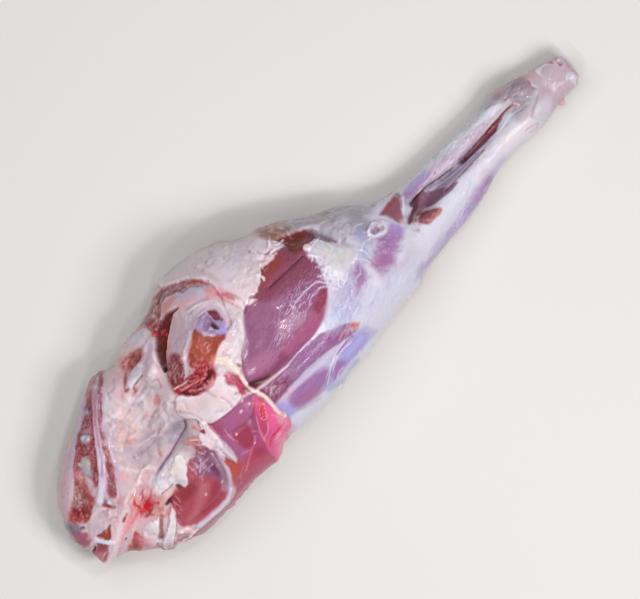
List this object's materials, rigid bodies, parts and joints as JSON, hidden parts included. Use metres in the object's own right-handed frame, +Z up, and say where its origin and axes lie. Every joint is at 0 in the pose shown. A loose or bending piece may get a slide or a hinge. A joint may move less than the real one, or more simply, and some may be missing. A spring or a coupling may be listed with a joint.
{
  "type": "raw leg of lamb",
  "caption": "Raw bone-in leg of lamb lying on its outer side: thick fat-lipped hip end with split backbone and bared aitch bone, tapering to a bare shank knuckle.",
  "frame": {"origin": "middle of the base, on the table that the leg rests on", "axes": "+X along the leg from the hip end to the shank knuckle, +Y across it towards the back of the leg, +Z up"},
  "size_m": [0.5052, 0.1636, 0.1083],
  "materials": {
    "raw_meat": "wet raw meat under pale fat and thin skins",
    "sawn_bone": "sawn spongy bone, damp",
    "bared_bone": "scraped bone with a cap of gristle, damp",
    "knuckle_gristle": "smooth gristle over bone, damp"
  },
  "bodies": {
    "root": {"leg_meat": "raw_meat", "backbone": "sawn_bone", "aitch_bone": "bared_bone", "shank_knuckle": "knuckle_gristle"}
  },
  "joints": []
}
